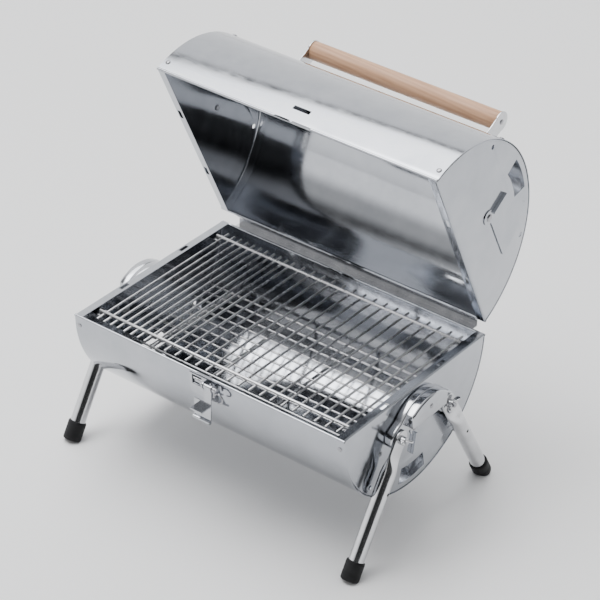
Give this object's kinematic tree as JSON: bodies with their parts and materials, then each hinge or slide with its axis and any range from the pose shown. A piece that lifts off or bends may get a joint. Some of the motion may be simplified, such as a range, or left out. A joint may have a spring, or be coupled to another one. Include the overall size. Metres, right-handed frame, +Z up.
{
  "type": "portable barrel charcoal grill",
  "caption": "Portable barrel-shaped charcoal grill with a hinged half-round lid, wooden handle, lift-out grids, end vents, front latch and folding splayed legs.",
  "frame": {"origin": "middle of the bounding box's bottom, on the floor under the open grill", "axes": "+X along the barrel to the right seen from the front, -Y towards the latch at the front, +Z up from the floor"},
  "size_m": [0.4726, 0.426, 0.4989],
  "materials": {
    "polished_steel": "mirror-polished stainless sheet",
    "bright_steel": "bright satin stainless steel",
    "grid_wire": "bright chromed wire",
    "fixings": "zinc-plated steel",
    "wood": "smooth unvarnished beech",
    "black_rubber": "matt moulded rubber"
  },
  "bodies": {
    "base": {"base_shell": "polished_steel", "base_plate_left": "polished_steel", "base_plate_right": "polished_steel", "base_rivets": "fixings", "base_hinge_leaf": "bright_steel", "hinge_pin": "fixings", "grid_tabs": "bright_steel", "grate_tabs": "bright_steel", "leg_bracket_left": "polished_steel", "leg_bracket_right": "polished_steel", "bracket_rivets": "fixings", "leg_bolts": "fixings", "wing_nuts": "fixings", "latch_bracket": "bright_steel", "latch_pin": "fixings", "base_damper_rivets": "fixings"},
    "lid": {"lid_shell": "polished_steel", "lid_plate_left": "polished_steel", "lid_plate_right": "polished_steel", "lid_rivets": "fixings", "lid_hinge_leaf": "bright_steel", "lid_damper_rivets": "fixings", "handle_arm_left": "bright_steel", "handle_arm_right": "bright_steel", "handle_grip": "wood", "handle_screws": "fixings"},
    "charcoal_grate": {"charcoal_grate": "grid_wire"},
    "cooking_grid": {"cooking_grid": "grid_wire"},
    "latch_hasp": {"latch_hasp": "bright_steel"},
    "latch_hook": {"latch_hook": "bright_steel"},
    "base_damper_left": {"base_damper_left": "polished_steel"},
    "base_damper_right": {"base_damper_right": "polished_steel"},
    "lid_damper_left": {"lid_damper_left": "polished_steel"},
    "lid_damper_right": {"lid_damper_right": "polished_steel"},
    "leg_front_left": {"leg_front_left": "bright_steel", "foot_front_left": "black_rubber"},
    "leg_front_right": {"leg_front_right": "bright_steel", "foot_front_right": "black_rubber"},
    "leg_back_left": {"leg_back_left": "bright_steel", "foot_back_left": "black_rubber"},
    "leg_back_right": {"leg_back_right": "bright_steel", "foot_back_right": "black_rubber"}
  },
  "joints": [
    {"name": "lid_hinge", "type": "hinge", "parent": "base", "child": "lid", "pos_m": [0, 0.10896, 0.216], "axis": [1, 0, 0], "range_deg": [0, 63.5]},
    {"name": "charcoal_grate_lift", "type": "slide", "parent": "base", "child": "charcoal_grate", "axis": [0, 0, -1], "range_m": [-0.13, 0]},
    {"name": "cooking_grid_lift", "type": "slide", "parent": "charcoal_grate", "child": "cooking_grid", "axis": [0, 0, -1], "range_m": [-0.13, 0]},
    {"name": "latch_hasp_swing", "type": "hinge", "parent": "base", "child": "latch_hasp", "pos_m": [0.01, -0.20204, 0.195], "axis": [-1, 0, 0], "range_deg": [0, 180]},
    {"name": "latch_hook_swing", "type": "hinge", "parent": "base", "child": "latch_hook", "pos_m": [0.0197, -0.20204, 0.195], "axis": [-1, 0, 0], "range_deg": [0, 150]},
    {"name": "base_damper_left_turn", "type": "hinge", "parent": "base", "child": "base_damper_left", "pos_m": [-0.2108, -0.04904, 0.144], "axis": [-1, 0, 0], "range_deg": [0, 62]},
    {"name": "base_damper_right_turn", "type": "hinge", "parent": "base", "child": "base_damper_right", "pos_m": [0.2108, -0.04904, 0.144], "axis": [-1, 0, 0], "range_deg": [0, 62]},
    {"name": "lid_damper_left_turn", "type": "hinge", "parent": "lid", "child": "lid_damper_left", "pos_m": [-0.2108, 0.0832, 0.37971], "axis": [1, 0, 0], "range_deg": [0, 62]},
    {"name": "lid_damper_right_turn", "type": "hinge", "parent": "lid", "child": "lid_damper_right", "pos_m": [0.2108, 0.0832, 0.37971], "axis": [1, 0, 0], "range_deg": [0, 62]},
    {"name": "leg_front_left_fold", "type": "hinge", "parent": "base", "child": "leg_front_left", "pos_m": [-0.2242, -0.09904, 0.159], "axis": [-1, 0, 0], "range_deg": [0, 135]},
    {"name": "leg_front_right_fold", "type": "hinge", "parent": "base", "child": "leg_front_right", "pos_m": [0.2242, -0.09904, 0.159], "axis": [-1, 0, 0], "range_deg": [0, 135]},
    {"name": "leg_back_left_fold", "type": "hinge", "parent": "base", "child": "leg_back_left", "pos_m": [-0.2242, 0.00096, 0.159], "axis": [1, 0, 0], "range_deg": [0, 135]},
    {"name": "leg_back_right_fold", "type": "hinge", "parent": "base", "child": "leg_back_right", "pos_m": [0.2242, 0.00096, 0.159], "axis": [1, 0, 0], "range_deg": [0, 135]}
  ]
}
